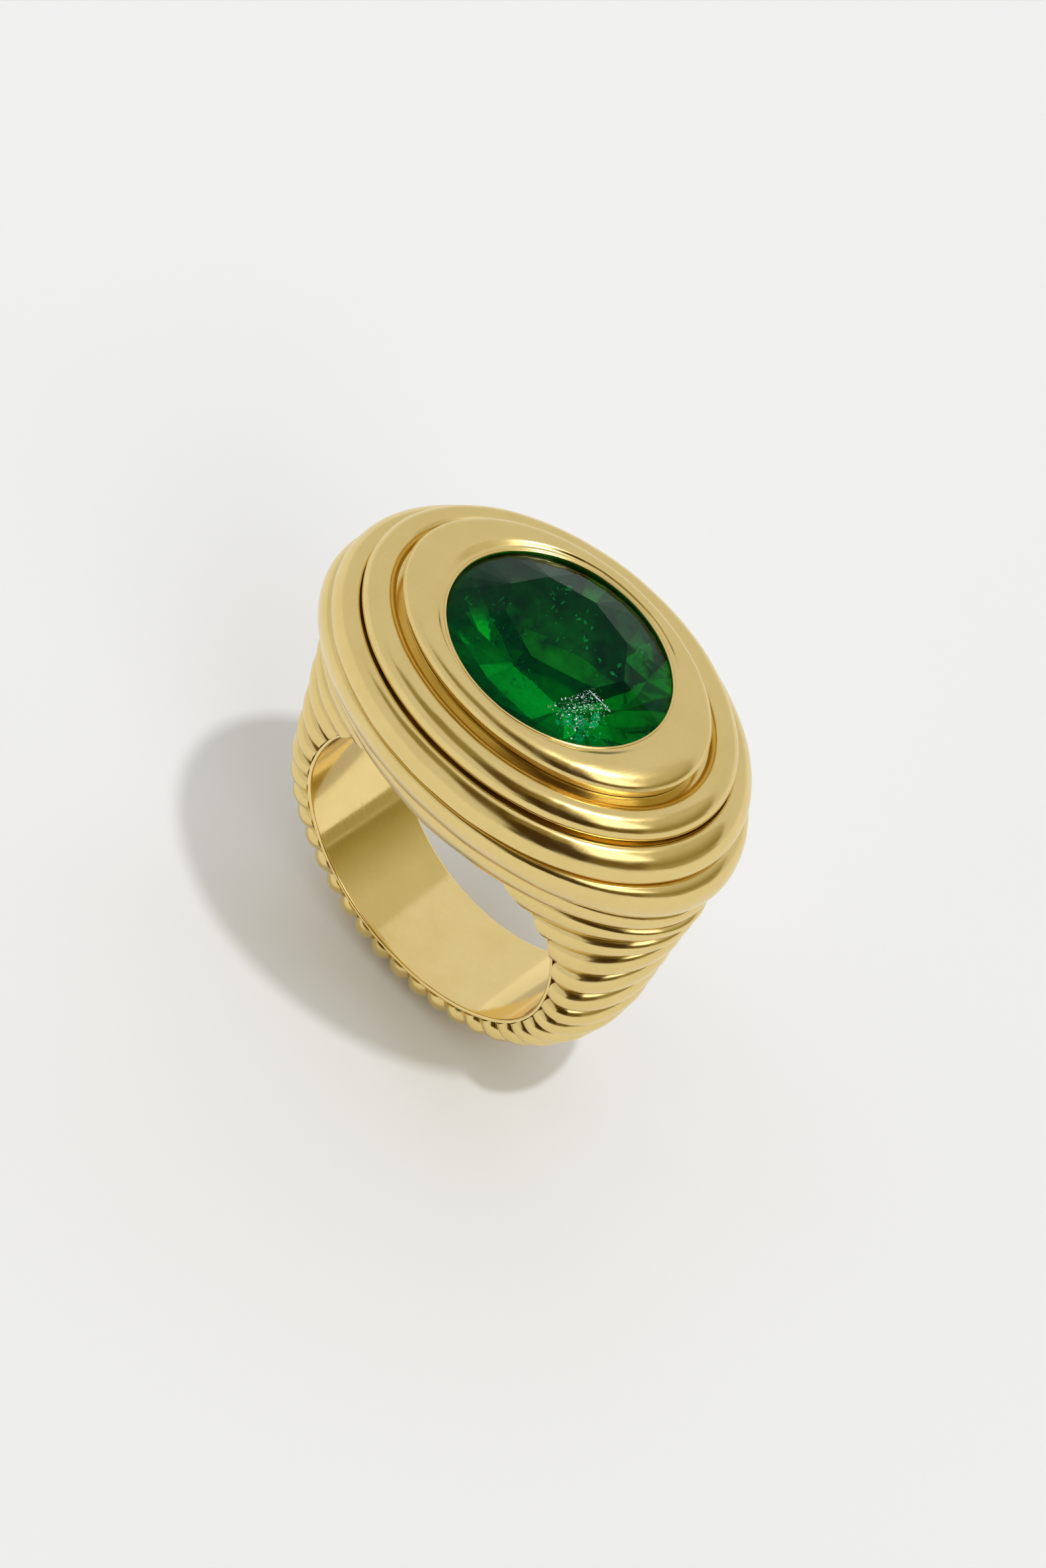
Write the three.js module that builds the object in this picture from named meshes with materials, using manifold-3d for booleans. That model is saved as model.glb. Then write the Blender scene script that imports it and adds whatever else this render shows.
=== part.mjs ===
// Cocktail ring: an oval faceted emerald in a wide gold collar on four stacked
// oval bead tiers, with fluted shoulders, a fluted shank and a smooth liner band.
// Millimetres, +Z up. The finger hole runs along Y and the stone's long axis
// along X. The origin is under the middle of the ring, on the plane that the
// lowest flute of the shank stands on.
import * as THREE from "three";
import { ParametricGeometry } from "three/addons/geometries/ParametricGeometry.js";
import { ConvexGeometry } from "three/addons/geometries/ConvexGeometry.js";
import { mergeVertices } from "three/addons/utils/BufferGeometryUtils.js";
import Module from "manifold-3d";

const wasm = await Module();
wasm.setup();

// ---- driving dimensions -------------------------------------------------
const HOLE_R = 8.65; // finger hole, 17.3 mm across
const LINER_T = 0.2; // wall of the smooth liner band
const LINER_CLEAR = 0.03; // solder gap between liner and outer pieces
const SHANK_R = 11.13; // crest of the flutes at the foot of the ring, from the hole's axis
const EQUATOR_R = 11.72; // crest of the flutes beside the hole's axis
const SHANK_HALF_W = 3.24; // half width of the shank at the foot, on the crests
const EQUATOR_HALF_W = 3.87; // the same beside the hole's axis
const LOWER_FLUTES = 10; // whole flutes on each side below the hole's axis, beside the one at the foot
const FOOT_HALF_ANGLE = 4.5; // half of the foot flute, degrees about the hole's axis
const FLUTE_DEPTH = 0.5; // crest to groove on the shank
const WRAP = 0.42; // how far outside the liner the flutes are widest

// Grooves of the shoulders, from the lowest tier down to the hole's axis: the
// angle up round the hole at which its plane crosses the radius LAYER_R, and how
// far the plane rises outwards, in degrees.
const LAYER_R = 9.13;
const SHOULDER = [
  { up: 57.2, tilt: 9 },
  { up: 40.7, tilt: 17 },
  { up: 29.2, tilt: 22 },
  { up: 19, tilt: 18.5 },
  { up: 9.3, tilt: 9.3 },
  { up: 0, tilt: 0 },
];
// Grooves between the tiers: height, half length along X, half width along Y.
const GROOVE_COLLAR = { z: 16.35, a: 9.3, b: 6.18 };
const GROOVE_1 = { z: 15.33, a: 10.91, b: 7.7 };
const GROOVE_2 = { z: 13.33, a: 12.15, b: 8.45 };
const GROOVE_3 = { z: 10.3, a: 12.22, b: 7.05 };
const GROOVE_4 = { a: 11.95, b: 5.62 }; // its plane is the shoulders' first one
const BEAD_1 = [0.75, 0.75]; // bulge of each bead over the chord of its grooves, along X and Y
const BEAD_2 = [0.66, 0.55];
const BEAD_3 = [0.88, 0.62];
const BEAD_4 = 0.56;
const CHANNEL_H = 0.1; // half height of the slot at a tier's groove
const CHANNEL_D = 0.4; // depth of that slot
const SEAM = 0.02; // half of the solder seam between stacked tiers

const OPEN = { z: 17.56, a: 6.24, b: 5.04 }; // the collar's opening over the stone
const COLLET_IN = 0.32; // how far the collet's bore is inside the stone's girdle
const GIRDLE = { z: 17.3, a: 6.36, b: 5.16, h: 0.14 };
const TABLE = { z: 18.55, a: 3.4, b: 2.4 };
const KEEL = { z: 12.9, half: 1.5 };
const COLLET_WALL = 0.33; // outside of the collet beyond the collar's opening
const COLLET_FOOT = 10.34; // height at which the collet stands on the lowest tier
const WELL = { a: 5.9, b: 4.7 }; // open well through the lowest tier under the stone
const BACK_2 = { a: 9.3, b: 6.3 }; // the middle tiers are hollowed out behind their beads
const BACK_3 = { a: 10.4, b: 6.2 };

const AZ = 48; // steps round an oval
const GOLD = { color: 0xd6b768, roughness: 0.3, metalness: 1.0 };
const GEM = { color: 0x00683a, roughness: 0.03, metalness: 0.0 };

// ---- helpers --------------------------------------------------------------
const LINER_R = HOLE_R + LINER_T;
const CUT_R = LINER_R + LINER_CLEAR;
const FOOT = SHANK_R; // height of the hole's axis above the origin
const rad = THREE.MathUtils.degToRad;
const lerp = THREE.MathUtils.lerp;

// Interpolates a table of [x, y] pairs with a monotone cubic.
function table(rows) {
  const n = rows.length;
  const x = rows.map((r) => r[0]);
  const y = rows.map((r) => r[1]);
  const h = [];
  const d = [];
  for (let i = 0; i < n - 1; i++) {
    h.push(x[i + 1] - x[i]);
    d.push((y[i + 1] - y[i]) / h[i]);
  }
  const m = [d[0]];
  for (let i = 1; i < n - 1; i++) {
    if (d[i - 1] * d[i] <= 0) m.push(0);
    else {
      const w1 = 2 * h[i] + h[i - 1];
      const w2 = h[i] + 2 * h[i - 1];
      m.push((w1 + w2) / (w1 / d[i - 1] + w2 / d[i]));
    }
  }
  m.push(d[n - 2]);
  return (v) => {
    const u = Math.min(Math.max(v, x[0]), x[n - 1]);
    let i = 0;
    while (i < n - 2 && u > x[i + 1]) i++;
    const t = (u - x[i]) / h[i];
    const t2 = t * t;
    const t3 = t2 * t;
    return (
      (2 * t3 - 3 * t2 + 1) * y[i] +
      (t3 - 2 * t2 + t) * h[i] * m[i] +
      (-2 * t3 + 3 * t2) * y[i + 1] +
      (t3 - t2) * h[i] * m[i + 1]
    );
  };
}

// Half width of the liner band and of the shank's grooves, by the angle from the
// foot about the hole's axis in degrees.
const linerHalfWidth = table([
  [0, 2.95],
  [30, 3.03],
  [50, 3.2],
  [70, 3.42],
  [90, 3.62],
  [109, 3.65],
  [119, 3.85],
  [131, 4.35],
  [147, 5.25],
  [163, 6.1],
  [180, 6.45],
]);
// Crest reach of the flutes from the hole's axis: below the axis by angle from
// the foot, above it by height.
const crestBelow = table([
  [0, SHANK_R],
  [30, 11.2],
  [60, 11.45],
  [90, EQUATOR_R],
]);
const crestAbove = table([
  [0, EQUATOR_R],
  [3, 12.03],
  [6, 12.38],
  [9, 12.76],
]);
const halfWidthAbove = table([
  [0, EQUATOR_HALF_W],
  [9.3, 3.88],
  [19, 3.97],
  [29.2, 4.26],
  [40.7, 4.84],
  [57.2, 5.85],
]);
const halfWidthBelow = table([
  [0, SHANK_HALF_W],
  [30, 3.3],
  [50, 3.42],
  [70, 3.66],
  [90, EQUATOR_HALF_W],
]);

// Turns any closed triangle surface into one solid with faces pointing out.
function solid(geometry) {
  const g = geometry.clone();
  for (const name of Object.keys(g.attributes))
    if (name !== "position") g.deleteAttribute(name);
  const merged = mergeVertices(g, 1e-3);
  const idx = merged.index.array;
  const keep = [];
  for (let i = 0; i < idx.length; i += 3) {
    const [p, q, r] = [idx[i], idx[i + 1], idx[i + 2]];
    if (p !== q && q !== r && p !== r) keep.push(p, q, r);
  }
  const make = (tris) =>
    new wasm.Manifold(
      new wasm.Mesh({
        numProp: 3,
        vertProperties: new Float32Array(merged.attributes.position.array),
        triVerts: new Uint32Array(tris),
      }),
    );
  let s = make(keep);
  if (s.volume() < 0) {
    for (let i = 0; i < keep.length; i += 3)
      [keep[i + 1], keep[i + 2]] = [keep[i + 2], keep[i + 1]];
    s = make(keep);
  }
  return s;
}

function geometryOf(manifold) {
  const m = manifold.getMesh();
  const g = new THREE.BufferGeometry();
  const pos = new Float32Array(m.numVert * 3);
  for (let i = 0; i < m.numVert; i++)
    for (let k = 0; k < 3; k++)
      pos[3 * i + k] = m.vertProperties[i * m.numProp + k];
  g.setAttribute("position", new THREE.BufferAttribute(pos, 3));
  g.setIndex(new THREE.BufferAttribute(new Uint32Array(m.triVerts), 1));
  g.computeVertexNormals();
  return g;
}

// A closed section loop carried round an oval. sectionX and sectionY are the
// same loop of [reach, height] points as it looks over the X and the Y axis.
function ovalRing(sectionX, sectionY, steps = AZ) {
  const n = sectionX.length;
  const at = (u, v, target) => {
    const i = Math.round(v * n) % n;
    const t = (Math.round(u * steps) % steps) * ((2 * Math.PI) / steps);
    const c = Math.cos(t);
    const s = Math.sin(t);
    target.set(
      sectionX[i][0] * c,
      sectionY[i][0] * s,
      sectionX[i][1] * c * c + sectionY[i][1] * s * s,
    );
  };
  return new ParametricGeometry(at, steps, n);
}

// Half-round bead from a lower groove to an upper one, as [reach, height].
function bead(r0, z0, r1, z1, bulge, steps) {
  const dr = r1 - r0;
  const dz = z1 - z0;
  const len = Math.hypot(dr, dz);
  const out = [];
  for (let i = 0; i <= steps; i++) {
    const t = (Math.PI * i) / steps;
    const k = (1 - Math.cos(t)) / 2;
    const b = bulge * Math.sin(t);
    out.push([r0 + dr * k + (dz / len) * b, z0 + dz * k - (dr / len) * b]);
  }
  return out;
}

// One stacked tier: inner wall, flat underside, slot, bead, slot, flat top.
function tierSection(key, lower, upper, bulge, inner, steps, slotTop = true) {
  const zb = lower.z + SEAM;
  const zt = upper.z - SEAM;
  const z0 = lower.z + CHANNEL_H;
  const z1 = upper.z - (slotTop ? CHANNEL_H : SEAM);
  const arc = bead(lower[key], z0, upper[key], z1, bulge, steps);
  return [
    [inner, zb],
    [lower[key] - CHANNEL_D, zb],
    [lower[key] - CHANNEL_D, z0],
    ...arc,
    ...(slotTop
      ? [
          [upper[key] - CHANNEL_D, z1],
          [upper[key] - CHANNEL_D, zt],
        ]
      : []),
    [inner, zt],
  ];
}

function tier(lower, upper, bulge, well, steps = 6) {
  return ovalRing(
    tierSection("a", lower, upper, bulge[0], well.a, steps),
    tierSection("b", lower, upper, bulge[1], well.b, steps),
  );
}

// The lowest tier. Its underside lies on the two planes that start the
// shoulders, so it drops a little towards the middle.
function lowestTier() {
  const { up, tilt } = SHOULDER[0];
  const slope = Math.tan(rad(tilt));
  const base = LAYER_R * (Math.sin(rad(up)) - Math.cos(rad(up)) * slope);
  const under = (x) => base + slope * Math.abs(x);
  const top = GROOVE_3.z - SEAM;
  const steps = 6;
  const n = steps + 6;
  const loopAt = (t) => {
    const c = Math.cos(t);
    const s = Math.sin(t);
    const lx = GROOVE_4.a * c;
    const ly = GROOVE_4.b * s;
    const low = new THREE.Vector3(lx, ly, under(lx) + CHANNEL_H * 0.4);
    const high = new THREE.Vector3(
      GROOVE_3.a * c,
      GROOVE_3.b * s,
      GROOVE_3.z - CHANNEL_H,
    );
    const chord = high.clone().sub(low);
    const out = new THREE.Vector3(-GROOVE_4.a * s, GROOVE_4.b * c, 0)
      .cross(chord)
      .normalize();
    const loop = [new THREE.Vector3(WELL.a * c, WELL.b * s, under(WELL.a * c) + SEAM)];
    loop.push(new THREE.Vector3(lx, ly, under(lx) + SEAM));
    for (let i = 0; i <= steps; i++) {
      const b = (Math.PI * i) / steps;
      loop.push(
        low
          .clone()
          .addScaledVector(chord, (1 - Math.cos(b)) / 2)
          .addScaledVector(out, BEAD_4 * Math.sin(b)),
      );
    }
    const inA = GROOVE_3.a - CHANNEL_D;
    const inB = GROOVE_3.b - CHANNEL_D;
    loop.push(new THREE.Vector3(inA * c, inB * s, GROOVE_3.z - CHANNEL_H));
    loop.push(new THREE.Vector3(inA * c, inB * s, top));
    loop.push(new THREE.Vector3(WELL.a * c, WELL.b * s, top));
    return loop;
  };
  return new ParametricGeometry(
    (u, v, target) => {
      const t = (Math.round(u * AZ) % AZ) * ((2 * Math.PI) / AZ);
      target.copy(loopAt(t)[Math.round(v * n) % n]);
    },
    AZ,
    n,
  );
}

// ---- head -------------------------------------------------------------------
// Wide domed collar: outer lip over a short upright wall that stands in the
// first tier, and the burnished edge round the stone.
function collarSection(key) {
  const g = GROOVE_COLLAR;
  const o = OPEN[key];
  const lip = key === "a" ? 9.12 : 6.16;
  const w = lip - o;
  const crest = key === "a" ? 17.88 : 17.78;
  return [
    [o + 0.36, g.z + SEAM],
    [g[key] - 0.42, g.z + SEAM],
    [g[key] - 0.3, 17.02],
    [lip - 0.06, 17.08],
    [lip, 17.2],
    [lip - 0.06 * w, lerp(17.2, crest, 0.38)],
    [lip - 0.17 * w, lerp(17.2, crest, 0.68)],
    [lip - 0.32 * w, lerp(17.2, crest, 0.88)],
    [lip - 0.52 * w, crest],
    [lip - 0.72 * w, lerp(17.68, crest, 0.9)],
    [o + 0.4, 17.7],
    [o + 0.36, 17.64],
  ];
}

// Thin collet inside the collar: its lip turns in over the girdle, and a ledge
// below carries the stone.
function colletSection(key) {
  const o = OPEN[key];
  const girdle = GIRDLE[key] + 0.03;
  return [
    [o + COLLET_WALL, COLLET_FOOT],
    [o + COLLET_WALL, 17.52],
    [o + 0.16, 17.62],
    [o + 0.02, 17.64],
    [o, OPEN.z],
    [girdle, GIRDLE.z + GIRDLE.h + 0.04],
    [girdle, GIRDLE.z - GIRDLE.h - 0.06],
    [GIRDLE[key] - COLLET_IN, GIRDLE.z - GIRDLE.h - 0.5],
    [GIRDLE[key] - COLLET_IN, COLLET_FOOT],
  ];
}

// Oval brilliant: eight-sided table, star and kite facets above the girdle,
// long mains below it that meet on a short keel.
function emerald() {
  const pts = [];
  const ring = (a, b, z, count, turn) => {
    for (let i = 0; i < count; i++) {
      const t = ((i + turn) * 2 * Math.PI) / count;
      pts.push(new THREE.Vector3(a * Math.cos(t), b * Math.sin(t), z));
    }
  };
  ring(TABLE.a, TABLE.b, TABLE.z, 8, 0);
  ring(4.92, 3.86, 18.12, 8, 0.5);
  ring(GIRDLE.a, GIRDLE.b, GIRDLE.z + GIRDLE.h, 32, 0);
  ring(GIRDLE.a, GIRDLE.b, GIRDLE.z - GIRDLE.h, 32, 0);
  ring(3.4, 2.55, 14.55, 8, 0.5);
  pts.push(new THREE.Vector3(KEEL.half, 0, KEEL.z));
  pts.push(new THREE.Vector3(-KEEL.half, 0, KEEL.z));
  return new ConvexGeometry(pts);
}

// ---- fluted shoulders and shank ------------------------------------------------
// Section at one layer: a rounded nose from one edge of the band to the other.
// inner is the distance from the hole's axis at which the layer starts, centre
// the distance at which the nose's widest line lies.
function nose(inner, centre, reach, halfW, k) {
  const stop = Math.acos(Math.min(1, (inner - centre) / (reach - centre)));
  const t = -stop + 2 * stop * k;
  return [centre + (reach - centre) * Math.cos(t), halfW * Math.sin(t)];
}

// Bulge of a flute between two grooves, 0 at the grooves and 1 on the crest.
const flute = (f) => Math.sqrt(Math.max(0, 1 - (2 * f - 1) ** 2)) * 0.6 + 0.4 * Math.sin(Math.PI * f);

// Closes a stack of section loops: the first and last fold to their own middle.
function stack(loops) {
  const n = loops[0].length;
  const middle = (loop) => {
    const m = new THREE.Vector3();
    loop.forEach((p) => m.add(p));
    return m.divideScalar(n);
  };
  const rows = [
    loops[0].map(() => middle(loops[0])),
    ...loops,
    loops[0].map(() => middle(loops[loops.length - 1])),
  ];
  return new ParametricGeometry(
    (u, v, target) => {
      target.copy(rows[Math.round(u * (rows.length - 1))][Math.round(v * n) % n]);
    },
    rows.length - 1,
    n,
  );
}

const ACROSS = 16; // steps across a nose
const PER_FLUTE = 4; // steps along one flute

// A layer plane of the shoulder: where it starts on the hole's circle, how it
// rises, and how far the flutes' crests reach along it.
function layer(up, tilt) {
  const c = Math.cos(rad(tilt));
  const s = Math.sin(rad(tilt));
  // from LAYER_R back along the plane to the liner
  const along = LAYER_R * Math.cos(rad(up - tilt));
  const off = LAYER_R * Math.sin(rad(up - tilt));
  const back = Math.sqrt(CUT_R * CUT_R - off * off) - along;
  const x = LAYER_R * Math.cos(rad(up)) + back * c;
  const z = LAYER_R * Math.sin(rad(up)) + back * s;
  let reach = 3;
  for (let i = 0; i < 12; i++) reach = (crestAbove(z + reach * s) - x) / c;
  return { x, z, c, s, reach };
}

// up and tilt give the layer, f the place in the flute, side is +1 or -1, lift
// moves the loop up by the solder seam.
function shoulderLoop(up, tilt, f, side, lift) {
  const at = layer(up, tilt);
  const slide = THREE.MathUtils.smoothstep(up, 20, SHOULDER[0].up);
  const centre = lerp(WRAP, -1.6, slide);
  const dip = (1 - flute(f)) * FLUTE_DEPTH;
  const reach = at.reach - dip;
  const halfW = halfWidthAbove(up) - dip * 0.95;
  const loop = [];
  const put = (u, y) =>
    loop.push(
      new THREE.Vector3(side * (at.x + u * at.c), y, at.z + u * at.s + lift),
    );
  for (let i = 0; i <= ACROSS; i++)
    put(...nose(0, centre, reach, halfW, i / ACROSS));
  const [, y1] = nose(0, centre, reach, halfW, 1);
  put(0, y1 * 0.33);
  put(0, -y1 * 0.33);
  return loop;
}

function shoulder(side) {
  const loops = [];
  const last = SHOULDER.length - 2;
  for (let k = 0; k <= last; k++)
    for (let j = 0; j <= PER_FLUTE; j++) {
      if (k > 0 && j === 0) continue;
      const f = (1 - Math.cos((Math.PI * j) / PER_FLUTE)) / 2;
      const up = lerp(SHOULDER[k].up, SHOULDER[k + 1].up, f);
      const tilt = lerp(SHOULDER[k].tilt, SHOULDER[k + 1].tilt, f);
      let lift = 0;
      if (k === 0 && j === 0) lift = -SEAM;
      if (k === last && j === PER_FLUTE) lift = SEAM;
      loops.push(shoulderLoop(up, tilt, f, side, lift));
    }
  return stack(loops);
}

// Angle from the foot in degrees, signed towards +X.
function shankLoop(angle, f) {
  const far = Math.abs(angle);
  const dip = (1 - flute(f)) * FLUTE_DEPTH;
  const reach = crestBelow(far) - dip;
  const halfW = halfWidthBelow(far) - dip * 0.95;
  const s = Math.sin(rad(angle));
  const c = Math.cos(rad(angle));
  const drop = far > 89.9 ? SEAM : 0;
  const loop = [];
  const put = (r, y) => loop.push(new THREE.Vector3(r * s, y, -r * c - drop));
  for (let i = 0; i <= ACROSS; i++) put(...nose(CUT_R, CUT_R + WRAP, reach, halfW, i / ACROSS));
  put(CUT_R, halfW * 0.33);
  put(CUT_R, -halfW * 0.33);
  return loop;
}

function lowerShank() {
  const grooves = [];
  const pitch = (90 - FOOT_HALF_ANGLE) / LOWER_FLUTES;
  for (let i = LOWER_FLUTES; i >= 0; i--) grooves.push(-FOOT_HALF_ANGLE - pitch * i);
  for (let i = 0; i <= LOWER_FLUTES; i++) grooves.push(FOOT_HALF_ANGLE + pitch * i);
  const loops = [];
  for (let k = 0; k < grooves.length - 1; k++)
    for (let j = 0; j <= PER_FLUTE; j++) {
      if (k > 0 && j === 0) continue;
      const f = (1 - Math.cos((Math.PI * j) / PER_FLUTE)) / 2;
      loops.push(shankLoop(lerp(grooves[k], grooves[k + 1], f), f));
    }
  return stack(loops);
}

// ---- liner band -------------------------------------------------------------
// Smooth sleeve that lines the finger hole and widens towards the head.
function liner() {
  const steps = 88;
  const section = (angle) => {
    const far = Math.abs(((angle + 180) % 360) - 180);
    const w = linerHalfWidth(far);
    return [
      [HOLE_R + 0.03, -w - 0.06],
      [HOLE_R + 0.09, -w - 0.1],
      [LINER_R, -w - 0.1],
      [LINER_R, w + 0.1],
      [HOLE_R + 0.09, w + 0.1],
      [HOLE_R + 0.03, w + 0.06],
      [HOLE_R, w],
      [HOLE_R, -w],
    ];
  };
  const n = 8;
  return new ParametricGeometry(
    (u, v, target) => {
      const angle = (Math.round(u * steps) % steps) * (360 / steps);
      const [r, y] = section(angle)[Math.round(v * n) % n];
      target.set(r * Math.sin(rad(angle)), y, -r * Math.cos(rad(angle)));
    },
    steps,
    n,
  );
}

// A closed cylinder along Y about the hole's axis.
function holeCylinder(radius, length) {
  const g = new THREE.CylinderGeometry(radius, radius, length, 88, 1);
  g.rotateY(Math.PI / 88);
  return g;
}

// An upright oval post, used to cut the window under the stone.
function ovalPost(a, b, z0, z1) {
  const g = new THREE.CylinderGeometry(1, 1, z1 - z0, 40, 1);
  g.rotateX(Math.PI / 2);
  g.scale(a, b, 1);
  g.translate(0, 0, (z0 + z1) / 2);
  return g;
}

// ---- assembly ---------------------------------------------------------------
const ring = new THREE.Group();
ring.name = "cocktail_ring";
const body = new THREE.Group(); // built about the hole's axis, stood on its foot
body.position.z = FOOT;
ring.add(body);

function add(name, manifold, look) {
  const mesh = new THREE.Mesh(
    geometryOf(manifold),
    new THREE.MeshStandardMaterial(look),
  );
  mesh.name = name;
  body.add(mesh);
}

const holeCut = solid(holeCylinder(CUT_R, 40));

add("emerald", solid(emerald()), GEM);
add("bezel_collet", solid(ovalRing(colletSection("a"), colletSection("b"))), GOLD);
add("bezel_collar", solid(ovalRing(collarSection("a"), collarSection("b"))), GOLD);

// The first tier fits round the collet, and the lowest one carries it.
const round = {
  a: OPEN.a + COLLET_WALL + 0.05,
  b: OPEN.b + COLLET_WALL + 0.05,
};
add("tier_ring_1", solid(tier(GROOVE_1, GROOVE_COLLAR, BEAD_1, round)), GOLD);
add("tier_ring_2", solid(tier(GROOVE_2, GROOVE_1, BEAD_2, BACK_2)), GOLD);
add("tier_ring_3", solid(tier(GROOVE_3, GROOVE_2, BEAD_3, BACK_3)), GOLD);
add("tier_ring_4", solid(lowestTier()).subtract(holeCut), GOLD);

add("shoulder_right", solid(shoulder(1)), GOLD);
add("shoulder_left", solid(shoulder(-1)), GOLD);
add("lower_shank", solid(lowerShank()), GOLD);
add(
  "liner_band",
  solid(liner()).subtract(solid(ovalPost(4.3, 3.3, 7, 11))),
  GOLD,
);

export default ring;
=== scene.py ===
import math
import bpy
import numpy as np
from mathutils import Matrix, Vector


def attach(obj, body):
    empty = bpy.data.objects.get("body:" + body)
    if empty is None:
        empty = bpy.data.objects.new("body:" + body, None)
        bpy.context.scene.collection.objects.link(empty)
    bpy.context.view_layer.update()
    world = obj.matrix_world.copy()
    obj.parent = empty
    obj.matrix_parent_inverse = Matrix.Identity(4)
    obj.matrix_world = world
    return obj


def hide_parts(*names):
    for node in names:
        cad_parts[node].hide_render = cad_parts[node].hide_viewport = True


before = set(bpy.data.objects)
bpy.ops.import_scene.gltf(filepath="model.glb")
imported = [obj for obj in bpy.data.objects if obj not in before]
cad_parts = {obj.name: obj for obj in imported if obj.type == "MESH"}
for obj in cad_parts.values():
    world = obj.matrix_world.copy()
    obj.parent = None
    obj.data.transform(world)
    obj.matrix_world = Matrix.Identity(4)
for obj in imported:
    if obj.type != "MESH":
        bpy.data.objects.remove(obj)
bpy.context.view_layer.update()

# Cocktail ring. Fine meshes of every gold piece are swept from the same section
# curves as the CAD solids (millimetres about the axis of the finger hole), then
# stood on the foot of the ring and scaled to metres.
MM = 0.001
SHANK_R = 11.13
FOOT = SHANK_R
rng = np.random.default_rng(7)

# ---------------------------------------------------------------- dimensions
HOLE_R = 8.65
LINER_R = HOLE_R + 0.2
CUT_R = LINER_R + 0.03
EQUATOR_R = 11.72
LOWER_FLUTES = 10
FOOT_HALF_ANGLE = 4.5
FLUTE_DEPTH = 0.5
LAYER_R = 9.13
WRAP = 0.42
SHOULDER = [(57.2, 9), (40.7, 17), (29.2, 22), (19, 18.5), (9.3, 9.3), (0, 0)]
GROOVE_COLLAR = {"z": 16.35, "a": 9.3, "b": 6.18}
GROOVE_1 = {"z": 15.33, "a": 10.91, "b": 7.7}
GROOVE_2 = {"z": 13.33, "a": 12.15, "b": 8.45}
GROOVE_3 = {"z": 10.3, "a": 12.22, "b": 7.05}
GROOVE_4 = {"a": 11.95, "b": 5.62}
BEAD_1, BEAD_2, BEAD_3, BEAD_4 = (0.75, 0.75), (0.66, 0.55), (0.88, 0.62), 0.56
CHANNEL_H, CHANNEL_D, SEAM = 0.1, 0.4, 0.02
OPEN = {"z": 17.56, "a": 6.24, "b": 5.04}
GIRDLE = {"z": 17.3, "a": 6.36, "b": 5.16, "h": 0.14}
COLLET_IN, COLLET_WALL, COLLET_FOOT = 0.32, 0.33, 10.34
WELL = {"a": 5.9, "b": 4.7}
BACK_2 = {"a": 9.3, "b": 6.3}
BACK_3 = {"a": 10.4, "b": 6.2}


def monotone(rows):
    """Monotone cubic through a table of [x, y] rows, for numpy arrays."""
    x = np.array([r[0] for r in rows], float)
    y = np.array([r[1] for r in rows], float)
    h = np.diff(x)
    d = np.diff(y) / h
    m = np.zeros(len(x))
    m[0], m[-1] = d[0], d[-1]
    for i in range(1, len(x) - 1):
        if d[i - 1] * d[i] > 0:
            w1, w2 = 2 * h[i] + h[i - 1], h[i] + 2 * h[i - 1]
            m[i] = (w1 + w2) / (w1 / d[i - 1] + w2 / d[i])

    def f(v):
        v = np.clip(np.asarray(v, float), x[0], x[-1])
        i = np.clip(np.searchsorted(x, v, side="left") - 1, 0, len(x) - 2)
        t = (v - x[i]) / h[i]
        t2, t3 = t * t, t * t * t
        return (
            (2 * t3 - 3 * t2 + 1) * y[i]
            + (t3 - 2 * t2 + t) * h[i] * m[i]
            + (-2 * t3 + 3 * t2) * y[i + 1]
            + (t3 - t2) * h[i] * m[i + 1]
        )

    return f


liner_half_width = monotone(
    [(0, 2.95), (30, 3.03), (50, 3.2), (70, 3.42), (90, 3.62), (109, 3.65),
     (119, 3.85), (131, 4.35), (147, 5.25), (163, 6.1), (180, 6.45)]
)
crest_below = monotone([(0, SHANK_R), (30, 11.2), (60, 11.45), (90, EQUATOR_R)])
crest_above = monotone([(0, EQUATOR_R), (3, 12.03), (6, 12.38), (9, 12.76)])
half_width_above = monotone([(0, 3.87), (9.3, 3.88), (19, 3.97), (29.2, 4.26), (40.7, 4.84), (57.2, 5.85)])
half_width_below = monotone([(0, 3.24), (30, 3.3), (50, 3.42), (70, 3.66), (90, 3.87)])


def lerp(a, b, t):
    return a + (b - a) * t


def smoothstep(v, a, b):
    t = min(max((v - a) / (b - a), 0.0), 1.0)
    return t * t * (3 - 2 * t)


# ---------------------------------------------------------------- mesh helpers
def waviness(co, scale, amount, seed):
    """Slow hand-finished undulation of a surface, in millimetres, from a sum of plane waves."""
    r = np.random.default_rng(seed)
    out = np.zeros(len(co))
    for _ in range(14):
        k = r.normal(size=3)
        k *= (2 * math.pi / scale) * r.uniform(0.6, 1.5) / np.linalg.norm(k)
        out += np.sin(co @ k + r.uniform(0, 2 * math.pi))
    return out * amount / math.sqrt(7)


def grid_faces(rows, cols, close_rows, close_cols):
    i, j = np.meshgrid(np.arange(rows if close_rows else rows - 1), np.arange(cols if close_cols else cols - 1), indexing="ij")
    i, j = i.ravel(), j.ravel()
    i2, j2 = (i + 1) % rows, (j + 1) % cols
    return np.stack([i * cols + j, i2 * cols + j, i2 * cols + j2, i * cols + j2], 1)


def signed_volume(co, faces):
    v = 0.0
    for f in faces:
        f = list(f)
        a = co[f[0]]
        for k in range(1, len(f) - 1):
            v += float(np.dot(a, np.cross(co[f[k]], co[f[k + 1]])))
    return v / 6


def quad_volume(co, q):
    a, b, c, d = co[q[:, 0]], co[q[:, 1]], co[q[:, 2]], co[q[:, 3]]
    return float((np.einsum("ij,ij->i", a, np.cross(b, c)) + np.einsum("ij,ij->i", a, np.cross(c, d))).sum() / 6)


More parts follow.
